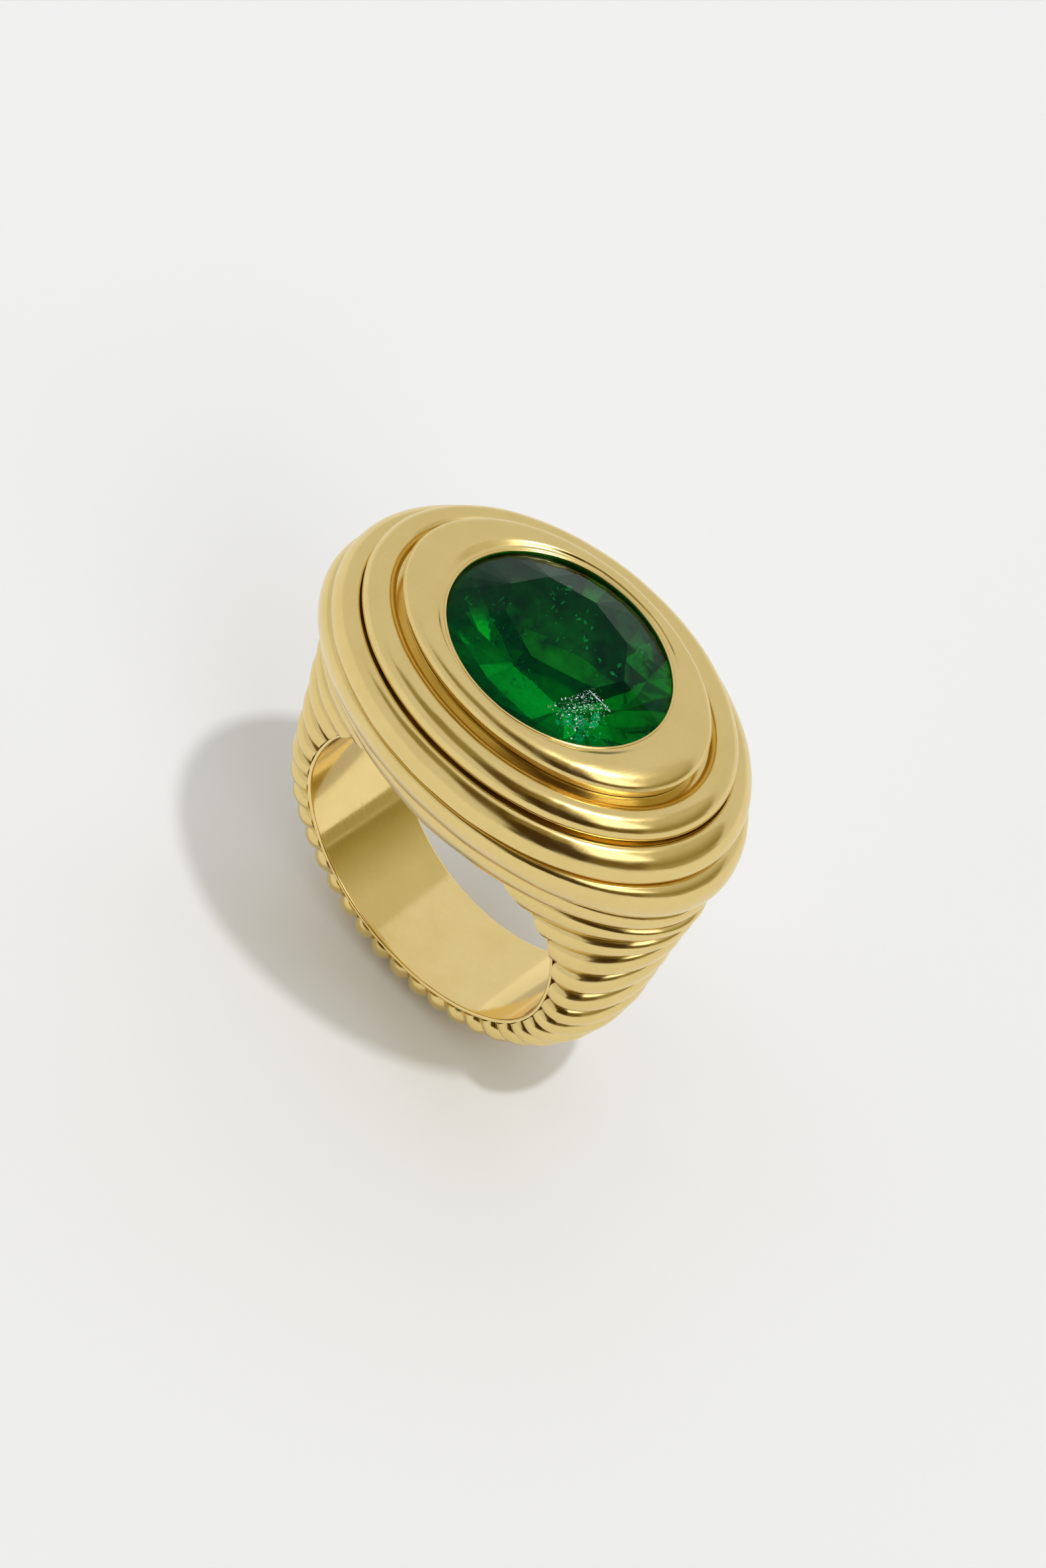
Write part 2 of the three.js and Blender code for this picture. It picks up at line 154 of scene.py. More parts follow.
def mesh_object(name, co, faces, sharp=50, wave=None):
    """A smooth-shaded object from millimetre points about the hole's axis."""
    co = np.asarray(co, float)
    mesh = bpy.data.meshes.new(name)
    pts = (co + np.array([0, 0, FOOT])) * MM
    mesh.from_pydata(pts.tolist(), [], [list(map(int, f)) for f in faces])
    mesh.validate()
    mesh.update()
    if wave:
        n = np.zeros(len(co) * 3, np.float32)
        mesh.vertices.foreach_get("normal", n)
        push = waviness(co, wave[0], wave[1], wave[2])[:, None] * n.reshape(-1, 3)
        mesh.vertices.foreach_set("co", ((co + push + np.array([0, 0, FOOT])) * MM).astype(np.float32).ravel())
        mesh.update()
    mesh.shade_smooth()
    if sharp:
        mesh.set_sharp_from_angle(angle=math.radians(sharp))
    obj = bpy.data.objects.new(name, mesh)
    bpy.context.scene.collection.objects.link(obj)
    return obj


def ring_object(name, loops, **kw):
    """Loops of section points carried once round: rows close on each other."""
    loops = np.asarray(loops, float)
    rows, cols = loops.shape[:2]
    co = loops.reshape(-1, 3)
    q = grid_faces(rows, cols, True, True)
    if quad_volume(co, q) < 0:
        q = q[:, ::-1]
    return mesh_object(name, co, q, **kw)


def stack_object(name, loops, **kw):
    """Loops of section points stacked from one end cap to the other."""
    loops = np.asarray(loops, float)
    rows, cols = loops.shape[:2]
    co = loops.reshape(-1, 3)
    q = grid_faces(rows, cols, False, True)
    ends = [list(range(cols)), list(range((rows - 1) * cols, rows * cols))]
    co2 = np.vstack([co, loops[0].mean(0), loops[-1].mean(0)])
    tris = []
    for k in range(cols):
        tris.append([ends[0][(k + 1) % cols], ends[0][k], rows * cols])
        tris.append([ends[1][k], ends[1][(k + 1) % cols], rows * cols + 1])
    faces = [list(f) for f in q] + tris
    if signed_volume(co2, faces) < 0:
        faces = [f[::-1] for f in faces]
    return mesh_object(name, co2, faces, **kw)


def rounded(points, radii, seg=5):
    """A closed section polygon with each corner turned into a small curve."""
    p = np.asarray(points, float)
    n = len(p)
    out = []
    for i in range(n):
        a, b, c = p[i - 1], p[i], p[(i + 1) % n]
        r = radii[i] if hasattr(radii, "__len__") else radii
        la, lc = np.linalg.norm(a - b), np.linalg.norm(c - b)
        if r <= 0 or la < 1e-9 or lc < 1e-9:
            out.append(b)
            continue
        ra, rc = min(r, la * 0.45), min(r, lc * 0.45)
        s, e = b + (a - b) / la * ra, b + (c - b) / lc * rc
        for k in range(seg + 1):
            t = k / seg
            out.append((1 - t) ** 2 * s + 2 * t * (1 - t) * b + t * t * e)
    return np.array(out)


def spline(points, per=8):
    """Centripetal Catmull-Rom through the points."""
    p = np.asarray(points, float)
    p = np.vstack([2 * p[0] - p[1], p, 2 * p[-1] - p[-2]])
    out = []
    for i in range(1, len(p) - 2):
        p0, p1, p2, p3 = p[i - 1], p[i], p[i + 1], p[i + 2]
        t0 = 0.0
        t1 = t0 + np.linalg.norm(p1 - p0) ** 0.5
        t2 = t1 + np.linalg.norm(p2 - p1) ** 0.5
        t3 = t2 + np.linalg.norm(p3 - p2) ** 0.5
        for k in range(per):
            t = lerp(t1, t2, k / per)
            a1 = (t1 - t) / (t1 - t0) * p0 + (t - t0) / (t1 - t0) * p1
            a2 = (t2 - t) / (t2 - t1) * p1 + (t - t1) / (t2 - t1) * p2
            a3 = (t3 - t) / (t3 - t2) * p2 + (t - t2) / (t3 - t2) * p3
            b1 = (t2 - t) / (t2 - t0) * a1 + (t - t0) / (t2 - t0) * a2
            b2 = (t3 - t) / (t3 - t1) * a2 + (t - t1) / (t3 - t1) * a3
            out.append((t2 - t) / (t2 - t1) * b1 + (t - t1) / (t2 - t1) * b2)
    out.append(p[-2])
    return np.array(out)


def oval_loops(sec_a, sec_b, steps=320):
    """The section over X and the section over Y carried round an oval."""
    t = np.linspace(0, 2 * math.pi, steps, endpoint=False)
    c, s = np.cos(t)[:, None], np.sin(t)[:, None]
    return np.stack([sec_a[None, :, 0] * c, sec_b[None, :, 0] * s, sec_a[None, :, 1] * c * c + sec_b[None, :, 1] * s * s], -1)


def bead(r0, z0, r1, z1, bulge, steps=30):
    t = np.linspace(0, math.pi, steps + 1)
    dr, dz = r1 - r0, z1 - z0
    ln = math.hypot(dr, dz)
    k = (1 - np.cos(t)) / 2
    b = bulge * np.sin(t)
    return np.stack([r0 + dr * k + dz / ln * b, z0 + dz * k - dr / ln * b], 1)


def edge_line(a, b, n=6):
    return [lerp(np.array(a, float), np.array(b, float), k / n) for k in range(1, n)]


# ---------------------------------------------------------------- head
def tier_section(key, lower, upper, bulge, inner):
    zb, zt = lower["z"] + SEAM, upper["z"] - SEAM
    z0, z1 = lower["z"] + CHANNEL_H, upper["z"] - CHANNEL_H
    arc = bead(lower[key], z0, upper[key], z1, bulge)
    deep_lo, deep_hi = lower[key] - CHANNEL_D, upper[key] - CHANNEL_D
    return np.array([[inner, zb], [deep_lo, zb], [deep_lo, z0], *arc, [deep_hi, z1], [deep_hi, zt], [inner, zt]])


def tier_object(name, lower, upper, bulge, well, seed):
    loops = oval_loops(tier_section("a", lower, upper, bulge[0], well["a"]), tier_section("b", lower, upper, bulge[1], well["b"]))
    return ring_object(name, loops, wave=(3.4, 0.006, seed), sharp=48)


def lowest_tier_loops(steps=320, n=30):
    up, tilt = SHOULDER[0]
    slope = math.tan(math.radians(tilt))
    base = LAYER_R * (math.sin(math.radians(up)) - math.cos(math.radians(up)) * slope)
    top = GROOVE_3["z"] - SEAM
    loops = []
    for q in range(steps):
        t = 2 * math.pi * q / steps
        c, s = math.cos(t), math.sin(t)
        lx, ly = GROOVE_4["a"] * c, GROOVE_4["b"] * s
        under = lambda x: base + slope * math.sqrt(x * x + 0.02)
        low = np.array([lx, ly, under(lx) + CHANNEL_H * 0.4])
        high = np.array([GROOVE_3["a"] * c, GROOVE_3["b"] * s, GROOVE_3["z"] - CHANNEL_H])
        chord = high - low
        out = np.cross([-GROOVE_4["a"] * s, GROOVE_4["b"] * c, 0], chord)
        out /= np.linalg.norm(out)
        wx, wy = WELL["a"] * c, WELL["b"] * s
        # The underside follows the sleeve's cylinder where it would dip into it.
        def seat(x, y, z):
            r = CUT_R + 0.01
            return max(z, math.sqrt(max(0.0, r * r - x * x))) if abs(x) < r else z
        loop = [[wx, wy, seat(wx, wy, under(wx) + SEAM)]]
        for k in range(1, 8):
            x, y = lerp(wx, lx, k / 8), lerp(wy, ly, k / 8)
            loop.append([x, y, seat(x, y, under(x) + SEAM)])
        for k in range(n + 1):
            b = math.pi * k / n
            p = low + chord * (1 - math.cos(b)) / 2 + out * BEAD_4 * math.sin(b)
            p[2] = seat(p[0], p[1], p[2]) if k < n / 2 else p[2]
            loop.append(p.tolist())
        ia, ib = GROOVE_3["a"] - CHANNEL_D, GROOVE_3["b"] - CHANNEL_D
        loop.append([ia * c, ib * s, GROOVE_3["z"] - CHANNEL_H])
        loop.append([ia * c, ib * s, top])
        loop.append([wx, wy, top])
        loops.append(loop)
    return np.array(loops)


def collar_section(key):
    g = GROOVE_COLLAR
    o = OPEN[key]
    lip = 9.12 if key == "a" else 6.16
    w = lip - o
    crest = 17.88 if key == "a" else 17.78
    base = [[o + 0.16, g["z"] + SEAM], [g[key] - 0.42, g["z"] + SEAM], [g[key] - 0.3, 17.0]]
    lip_curve = spline([[g[key] - 0.3, 17.0], [lip - 0.16, 17.05], [lip - 0.04, 17.1], [lip, 17.2]], 6)
    dome = spline(
        [[lip, 17.2],
         [lip - 0.06 * w, lerp(17.2, crest, 0.38)],
         [lip - 0.17 * w, lerp(17.2, crest, 0.68)],
         [lip - 0.32 * w, lerp(17.2, crest, 0.88)],
         [lip - 0.52 * w, crest],
         [lip - 0.72 * w, lerp(17.68, crest, 0.9)],
         [o + 0.34, 17.70],
         [o + 0.17, 17.665],
         [o + 0.13, 17.6]], 9)
    pts = [np.array(base[0]), *edge_line(base[0], base[1], 3), np.array(base[1]), *edge_line(base[1], base[2], 6), *lip_curve, *dome[1:]]
    return np.array(pts)


def collet_section(key):
    o = OPEN[key]
    girdle = GIRDLE[key] + 0.03
    seat_in = GIRDLE[key] - COLLET_IN
    lip = spline(
        [[o + 0.2, 17.5], [o + 0.185, 17.64], [o + 0.15, 17.69], [o + 0.09, 17.705],
         [o + 0.035, 17.68], [o + 0.005, 17.62], [o, 17.5]], 5)
    return np.array([
        [o + COLLET_WALL, COLLET_FOOT], *edge_line((o + COLLET_WALL, COLLET_FOOT), (o + COLLET_WALL, 17.3), 6),
        [o + COLLET_WALL, 17.3],
        *lip,
        [girdle, GIRDLE["z"] + GIRDLE["h"] + 0.04],
        [girdle, GIRDLE["z"] - GIRDLE["h"] - 0.06],
        [seat_in, GIRDLE["z"] - GIRDLE["h"] - 0.5],
        *edge_line((seat_in, GIRDLE["z"] - GIRDLE["h"] - 0.5), (seat_in, COLLET_FOOT), 6),
        [seat_in, COLLET_FOOT]])


# ---------------------------------------------------------------- shank
ACROSS, PER_FLUTE = 56, 14


def nose(inner, centre, reach, half_w):
    stop = math.acos(min(1.0, max(-1.0, (inner - centre) / (reach - centre))))
    t = np.linspace(-stop, stop, ACROSS + 1)
    return centre + (reach - centre) * np.cos(t), half_w * np.sin(t)


def flute(f):
    return 0.6 * math.sqrt(max(0.0, 1 - (2 * f - 1) ** 2)) + 0.4 * math.sin(math.pi * f)


def layer(up, tilt):
    c, s = math.cos(math.radians(tilt)), math.sin(math.radians(tilt))
    along, off = LAYER_R * math.cos(math.radians(up - tilt)), LAYER_R * math.sin(math.radians(up - tilt))
    back_ = math.sqrt(CUT_R * CUT_R - off * off) - along
    x = LAYER_R * math.cos(math.radians(up)) + back_ * c
    z = LAYER_R * math.sin(math.radians(up)) + back_ * s
    reach = 3.0
    for _ in range(12):
        reach = (float(crest_above(z + reach * s)) - x) / c
    return x, z, c, s, reach


def shoulder_loop(up, tilt, f, side, lift):
    x, z, c, s, full = layer(up, tilt)
    centre = lerp(WRAP, -1.6, smoothstep(up, 20, SHOULDER[0][0]))
    dip = (1 - flute(f)) * FLUTE_DEPTH
    u, y = nose(0, centre, full - dip, float(half_width_above(up)) - dip * 0.95)
    edge = y[-1]
    u = np.concatenate([u, [0, 0, 0]])
    y = np.concatenate([y, [edge * 0.5, 0, -edge * 0.5]])
    return np.stack([side * (x + u * c), y, z + u * s + lift], 1)


def shoulder_loops(side):
    loops = []
    last = len(SHOULDER) - 2
    for k in range(last + 1):
        for j in range(PER_FLUTE + 1):
            if k > 0 and j == 0:
                continue
            f = (1 - math.cos(math.pi * j / PER_FLUTE)) / 2
            up = lerp(SHOULDER[k][0], SHOULDER[k + 1][0], f)
            tilt = lerp(SHOULDER[k][1], SHOULDER[k + 1][1], f)
            lift = -SEAM if k == 0 and j == 0 else (SEAM if k == last and j == PER_FLUTE else 0)
            loops.append(shoulder_loop(up, tilt, f, side, lift))
    return loops


def shank_loop(angle, f):
    far = abs(angle)
    dip = (1 - flute(f)) * FLUTE_DEPTH
    r, y = nose(CUT_R, CUT_R + WRAP, float(crest_below(far)) - dip, float(half_width_below(far)) - dip * 0.95)
    edge = y[-1]
    r = np.concatenate([r, [CUT_R] * 3])
    y = np.concatenate([y, [edge * 0.5, 0, -edge * 0.5]])
    s, c = math.sin(math.radians(angle)), math.cos(math.radians(angle))
    drop = SEAM if far > 89.9 else 0
    return np.stack([r * s, y, -r * c - drop], 1)


def shank_loops():
    pitch = (90 - FOOT_HALF_ANGLE) / LOWER_FLUTES
    right = [FOOT_HALF_ANGLE + pitch * i for i in range(LOWER_FLUTES + 1)]
    grooves = [-g for g in reversed(right)] + right
    loops = []
    for k in range(len(grooves) - 1):
        for j in range(PER_FLUTE + 1):
            if k > 0 and j == 0:
                continue
            f = (1 - math.cos(math.pi * j / PER_FLUTE)) / 2
            loops.append(shank_loop(lerp(grooves[k], grooves[k + 1], f), f))
    return loops


# ---------------------------------------------------------------- liner
def liner_loops(steps=360):
    loops = []
    for q in range(steps):
        angle = 360 * q / steps
        far = abs((angle + 180) % 360 - 180)
        w = float(liner_half_width(far))
        pts = [[HOLE_R + 0.03, -w - 0.06], [HOLE_R + 0.09, -w - 0.1], [LINER_R, -w - 0.1], [LINER_R, w + 0.1],
               [HOLE_R + 0.09, w + 0.1], [HOLE_R + 0.03, w + 0.06], [HOLE_R, w], [HOLE_R, -w]]
        sec = rounded(pts, [0.04, 0.04, 0.02, 0.02, 0.04, 0.04, 0.05, 0.05], 4)
        # Extra rows across the bore, so that its surface can undulate.
        a = math.radians(angle)
        sec = list(sec)
        cut = len(sec) - 5
        bore = [lerp(sec[cut - 1], sec[cut], k / 24) for k in range(1, 24)]
        sec = np.array(sec[:cut] + bore + sec[cut:])
        loops.append(np.stack([sec[:, 0] * math.sin(a), sec[:, 1], -sec[:, 0] * math.cos(a)], 1))
    return np.array(loops)


def oval_post(a, b, z0, z1, n=96):
    t = np.linspace(0, 2 * math.pi, n, endpoint=False)
    low = np.stack([a * np.cos(t), b * np.sin(t), np.full(n, z0)], 1)
    high = low.copy()
    high[:, 2] = z1
    faces = [[k, (k + 1) % n, n + (k + 1) % n, n + k] for k in range(n)]
    faces += [list(range(n))[::-1], list(range(n, 2 * n))]
    return mesh_object("window_cutter", np.vstack([low, high]), faces, sharp=0)


def cut_window(obj, cutter):
    m = obj.modifiers.new("window", "BOOLEAN")
    m.operation, m.solver, m.object = "DIFFERENCE", "EXACT", cutter
    bpy.context.view_layer.update()
    dg = bpy.context.evaluated_depsgraph_get()
    made = bpy.data.meshes.new_from_object(obj.evaluated_get(dg))
    obj.modifiers.clear()
    old = obj.data
    obj.data = made
    made.name = old.name + "_cut"
    bpy.data.meshes.remove(old)
    made.shade_smooth()
    made.set_sharp_from_angle(angle=math.radians(40))


# ---------------------------------------------------------------- gold pieces
gold = {}
gold["tier_ring_1"] = tier_object("tier_1_fine", GROOVE_1, GROOVE_COLLAR, BEAD_1, {"a": OPEN["a"] + COLLET_WALL + 0.05, "b": OPEN["b"] + COLLET_WALL + 0.05}, 11)
gold["tier_ring_2"] = tier_object("tier_2_fine", GROOVE_2, GROOVE_1, BEAD_2, BACK_2, 12)
gold["tier_ring_3"] = tier_object("tier_3_fine", GROOVE_3, GROOVE_2, BEAD_3, BACK_3, 13)
gold["tier_ring_4"] = ring_object("tier_4_fine", lowest_tier_loops(), wave=(3.4, 0.005, 14), sharp=48)
gold["bezel_collar"] = ring_object("collar_fine", oval_loops(collar_section("a"), collar_section("b"), 360), wave=(3.0, 0.005, 15), sharp=50)
gold["bezel_collet"] = ring_object("collet_fine", oval_loops(collet_section("a"), collet_section("b"), 360), wave=(1.4, 0.003, 16), sharp=50)
gold["shoulder_right"] = stack_object("shoulder_right_fine", shoulder_loops(1), wave=(2.6, 0.006, 17), sharp=48)
gold["shoulder_left"] = stack_object("shoulder_left_fine", shoulder_loops(-1), wave=(2.6, 0.006, 18), sharp=48)
gold["lower_shank"] = stack_object("shank_fine", shank_loops(), wave=(2.6, 0.006, 19), sharp=48)
liner = ring_object("liner_fine", liner_loops(), wave=(4.5, 0.004, 20), sharp=40)
cutter = oval_post(4.3, 3.3, 7, 11)
cut_window(liner, cutter)
bpy.data.objects.remove(cutter)
gold["liner_band"] = liner
for node, obj in gold.items():
    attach(obj, "root")
    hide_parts(node)


# ---------------------------------------------------------------- emerald
# Oval brilliant. The table's eight corners, then for each side of the table the
# tip of its star facet, as x and y in millimetres; kite and upper girdle facets
# run from those to the girdle. Below it, lower girdle facets and long mains meet
# on a short keel.
TABLE_Z = 18.55
TABLE = [(3.05, -1.0), (3.62, 0.55), (2.15, 2.35), (-0.55, 2.82), (-3.05, 2.0), (-3.85, 0.1), (-2.85, -1.3), (-0.1, -2.2)]
STAR = [(4.62, -0.75), (4.1, 2.0), (1.05, 3.75), (-2.45, 3.45), (-4.75, 1.3), (-4.6, -1.55), (-1.85, -3.5), (2.1, -3.3)]


def crown_height(x, y):
    """Height of the crown's facets over the girdle, by how far in from it."""
    r = math.hypot(x / GIRDLE["a"], y / GIRDLE["b"])
    return GIRDLE["z"] + GIRDLE["h"] + 1.3 * (1 - r) ** 0.80


def gem_mesh(name):
    a, b = GIRDLE["a"], GIRDLE["b"]
    top, bot = GIRDLE["z"] + GIRDLE["h"], GIRDLE["z"] - GIRDLE["h"]
    pts = [[x, y, TABLE_Z] for x, y in TABLE]
    pts += [[x, y, crown_height(x, y)] for x, y in STAR]

    def put(count, turn, ra, rb, z):
        for i in range(count):
            t = 2 * math.pi * (i + turn) / count
            pts.append([ra * math.cos(t), rb * math.sin(t), z])

    put(32, 0, a, b, top)
    put(32, 0, a, b, bot)
    put(8, 0.5, 3.75, 2.9, 14.78)
    put(8, 0.0, 4.75, 3.75, 15.62)
    pts.append([1.5, 0, 12.9])
    pts.append([-1.5, 0, 12.9])
    bm = bmesh.new()
    vs = [bm.verts.new((q[0] * MM, q[1] * MM, (q[2] + FOOT) * MM)) for q in pts]
    bmesh.ops.convex_hull(bm, input=vs)
    bmesh.ops.delete(bm, geom=[v for v in bm.verts if not v.link_faces], context="VERTS")
    bmesh.ops.dissolve_limit(bm, angle_limit=math.radians(0.6), verts=bm.verts, edges=bm.edges)
    bmesh.ops.recalc_face_normals(bm, faces=bm.faces)
    # the edges of the facets are not knife sharp
    bmesh.ops.bevel(bm, geom=list(bm.edges), offset=0.018 * MM, segments=1, affect="EDGES", profile=0.5)
    bmesh.ops.triangulate(bm, faces=[f for f in bm.faces if len(f.verts) > 4])
    mesh = bpy.data.meshes.new(name)
    bm.to_mesh(mesh)
    bm.free()
    obj = bpy.data.objects.new(name, mesh)
    bpy.context.scene.collection.objects.link(obj)
    return obj


import bmesh

gem = gem_mesh("emerald_fine")
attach(gem, "root")
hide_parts("emerald")


def flakes(name, places, seed, lo, hi, aspect):
    """Small irregular flakes, each a thin bent sliver, as one mesh."""
    rng = np.random.default_rng(seed)
    verts, faces = [], []
    for cx, cy, cz in places:
        size = lo * (hi / lo) ** rng.random()
        u = rng.normal(size=3)
        u /= np.linalg.norm(u)
        v = np.cross(u, rng.normal(size=3))
        v /= np.linalg.norm(v)
        w = np.cross(u, v)
        k0 = len(verts)
        count = 6
        for side in (-1, 1):
            for q in range(count):
                ang = 2 * math.pi * q / count
                r = size * (0.55 + 0.45 * rng.random())
                pt = np.array([cx, cy, cz]) + u * r * math.cos(ang) + v * r * math.sin(ang) * aspect
                pt = pt + w * (side * 0.006 + 0.12 * size * math.cos(2 * ang))
                verts.append((pt[0] * MM, pt[1] * MM, (pt[2] + FOOT) * MM))
        faces.append(tuple(k0 + count - 1 - q for q in range(count)))
        faces.append(tuple(k0 + count + q for q in range(count)))
        for q in range(count):
            nxt = (q + 1) % count
            faces.append((k0 + q, k0 + nxt, k0 + count + nxt, k0 + count + q))
    mesh = bpy.data.meshes.new(name)
    mesh.from_pydata(verts, [], faces)
    mesh.update()
    obj = bpy.data.objects.new(name, mesh)
    bpy.context.scene.collection.objects.link(obj)
    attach(obj, "root")
    return obj


# The garden of the stone: veils of small flakes along a few wandering sheets.
rng = np.random.default_rng(41)
veil = []
for cx, cy, cz, sx, sy, sz, count in ((-3.2, -1.6, 16.7, 1.1, 0.8, 0.35, 34), (0.6, 1.3, 16.6, 1.8, 0.7, 0.4, 30),
                                      (3.4, -1.9, 16.9, 0.8, 0.9, 0.25, 26), (-0.6, -2.4, 16.5, 1.5, 0.6, 0.4, 22),
                                      (-1.2, 2.6, 17.1, 1.3, 0.5, 0.2, 16)):
    for _ in range(count):
        q = np.array([cx, cy, cz]) + rng.normal(size=3) * (sx, sy, sz)
        room = 1 - math.hypot(q[0] / GIRDLE["a"], q[1] / GIRDLE["b"])
        if room > 0.14 and GIRDLE["z"] - 0.1 - 3.2 * room < q[2] < GIRDLE["z"] + 0.55:
            veil.append(q)
jardin = flakes("emerald_veils", veil, 5, 0.05, 0.26, 0.55)
# Painted glints: small white flakes right under the crown facet at the lower right of the table, standing in for the
# specular glints of that facet.
KITE = [(3.04, -0.95), (4.41, -0.99), (4.73, -4.07), (2.11, -3.24)]


def in_kite(x, y):
    sign = []
    for q in range(4):
        (x0, y0), (x1, y1) = KITE[q], KITE[(q + 1) % 4]
        sign.append((x1 - x0) * (y - y0) - (y1 - y0) * (x - x0))
    return all(c > 0 for c in sign) or all(c < 0 for c in sign)


painted_glint_spots = []
while len(painted_glint_spots) < 300:
    x, y = rng.uniform(2.0, 4.8), rng.uniform(-4.1, -0.9)
    near = math.hypot(x - 3.1, y + 1.9)
    if in_kite(x, y) and rng.random() < math.exp(-(near / 1.0) ** 2) + 0.06 and math.hypot(x / GIRDLE["a"], y / GIRDLE["b"]) < 0.93:
        painted_glint_spots.append((x, y))


# ---------------------------------------------------------------- materials
def nodes_of(mat):
    mat.use_nodes = True
    nt = mat.node_tree
    nt.nodes.clear()
    return nt, nt.nodes.new, nt.links.new


def gold_material(name, tone, rough, rough_var, brush, wave, seed):
    mat = bpy.data.materials.new(name)
    nt, new, link = nodes_of(mat)
    out = new("ShaderNodeOutputMaterial")
    sh = new("ShaderNodeBsdfPrincipled")
    link(sh.outputs["BSDF"], out.inputs["Surface"])
    sh.inputs["Metallic"].default_value = 1.0
    tc = new("ShaderNodeTexCoord")
    flow = new("ShaderNodeAttribute")
    flow.attribute_name = "flow"

    def noise(scale, detail, vec, rough_=0.5, dims="3D"):
        n = new("ShaderNodeTexNoise")
        n.inputs["Scale"].default_value = scale
        n.inputs["Detail"].default_value = detail
        n.inputs["Roughness"].default_value = rough_
        link(vec, n.inputs["Vector"])
        return n.outputs["Fac"]

    def mapping(vec, scale):
        m = new("ShaderNodeMapping")
        m.inputs["Scale"].default_value = scale
        m.inputs["Location"].default_value = (seed * 1.7, seed * 0.9, seed * 2.3)
        link(vec, m.inputs["Vector"])
        return m.outputs["Vector"]

    def ramp(fac, lo, hi, a, b):
        r = new("ShaderNodeMapRange")
        r.inputs["From Min"].default_value = lo
        r.inputs["From Max"].default_value = hi
        r.inputs["To Min"].default_value = a
        r.inputs["To Max"].default_value = b
        link(fac, r.inputs["Value"])
        return r.outputs["Result"]

    # slow cloudy tone over the metal, in millimetres
    mm = mapping(tc.outputs["Object"], (1000, 1000, 1000))
    cloud = noise(0.45, 3, mm)
    fleck = noise(3.2, 4, mm, 0.6)
    mix = new("ShaderNodeMix")
    mix.data_type = "RGBA"
    mix.inputs["A"].default_value = (*tone[0], 1)
    mix.inputs["B"].default_value = (*tone[1], 1)
    link(ramp(cloud, 0.3, 0.7, 0, 1), mix.inputs["Factor"])
    mix2 = new("ShaderNodeMix")
    mix2.data_type = "RGBA"
    mix2.inputs["B"].default_value = (*tone[2], 1)
    link(mix.outputs["Result"], mix2.inputs["A"])
    link(ramp(fleck, 0.52, 0.75, 0, 0.35), mix2.inputs["Factor"])
    link(mix2.outputs["Result"], sh.inputs["Base Color"])

    # brush marks along the grain: flow.x runs across it, flow.y and flow.z along it
    fine = noise(1.0, 3, mapping(flow.outputs["Vector"], (16, 0.5, 0.5)), 0.65)
    coarse = noise(1.0, 2, mapping(flow.outputs["Vector"], (5.0, 0.35, 0.35)), 0.5)
    cross = noise(1.0, 2, mapping(tc.outputs["Object"], (9000, 1600, 5200)), 0.5)

    # roughness: satin with slightly smoother worn patches and brushed streaks
    worn = noise(0.9, 3, mm, 0.55)
    r1 = ramp(worn, 0.3, 0.7, rough - rough_var, rough + rough_var)
    r2 = ramp(fine, 0.3, 0.7, -0.035, 0.045)
    add = new("ShaderNodeMath")
    link(r1, add.inputs[0])
    link(r2, add.inputs[1])
    link(add.outputs[0], sh.inputs["Roughness"])

    b1 = new("ShaderNodeBump")
    b1.inputs["Strength"].default_value = brush
    b1.inputs["Distance"].default_value = 0.012 * MM
    link(fine, b1.inputs["Height"])
    b2 = new("ShaderNodeBump")
    b2.inputs["Strength"].default_value = brush
    b2.inputs["Distance"].default_value = 0.018 * MM
    link(coarse, b2.inputs["Height"])
    link(b1.outputs["Normal"], b2.inputs["Normal"])
    b3 = new("ShaderNodeBump")
    b3.inputs["Strength"].default_value = wave
    b3.inputs["Distance"].default_value = 0.012 * MM
    link(cross, b3.inputs["Height"])
    link(b2.outputs["Normal"], b3.inputs["Normal"])
    link(b3.outputs["Normal"], sh.inputs["Normal"])
    return mat


TONE = ((0.83, 0.645, 0.265), (0.79, 0.605, 0.235), (0.87, 0.69, 0.31))
# The bore's copy of the tone is brighter: partly the true colour of bright polished gold, partly painted light for the
# brightly lit floor that the bore reflects.
BORE_TONE_PAINTED_LIGHT = ((0.95, 0.74, 0.32), (0.90, 0.69, 0.28), (0.99, 0.79, 0.37))
mats = {
    "satin": gold_material("gold_satin_head", TONE, 0.165, 0.03, 0.16, 0.08, 1),
    "collar": gold_material("gold_brushed_collar", TONE, 0.21, 0.04, 0.22, 0.14, 2),
    "shank": gold_material("gold_satin_shank", TONE, 0.16, 0.03, 0.14, 0.08, 3),
    "polished": gold_material("gold_polished_bore_painted_light", BORE_TONE_PAINTED_LIGHT, 0.10, 0.025, 0.08, 0.05, 4),
}


def add_flow(obj, kind):
    """Grain coordinates in millimetres: x across the brush marks, y and z along them."""
    me = obj.data
    co = np.zeros(len(me.vertices) * 3, np.float32)
    me.vertices.foreach_get("co", co)
    co = co.reshape(-1, 3) / MM
    x, y, z = co[:, 0], co[:, 1], co[:, 2] - FOOT
    if kind == "oval":  # marks run round the oval
        r = np.sqrt((x / 1.25) ** 2 + y ** 2)
        flow = np.stack([r * 0.8 + z, np.arctan2(y, x / 1.25) * 0 + x * 0.35, y * 0.35], 1)
    elif kind == "bore":  # marks run round the finger hole
        flow = np.stack([y, x * 0.4, z * 0.4], 1)
    else:  # marks run along the flutes, over the band
        ang = np.arctan2(x, -z) * 9.5
        flow = np.stack([ang, y * 0.5, np.sqrt(x * x + z * z) * 0.5], 1)
    at = me.attributes.new("flow", "FLOAT_VECTOR", "POINT")
    at.data.foreach_set("vector", flow.astype(np.float32).ravel())


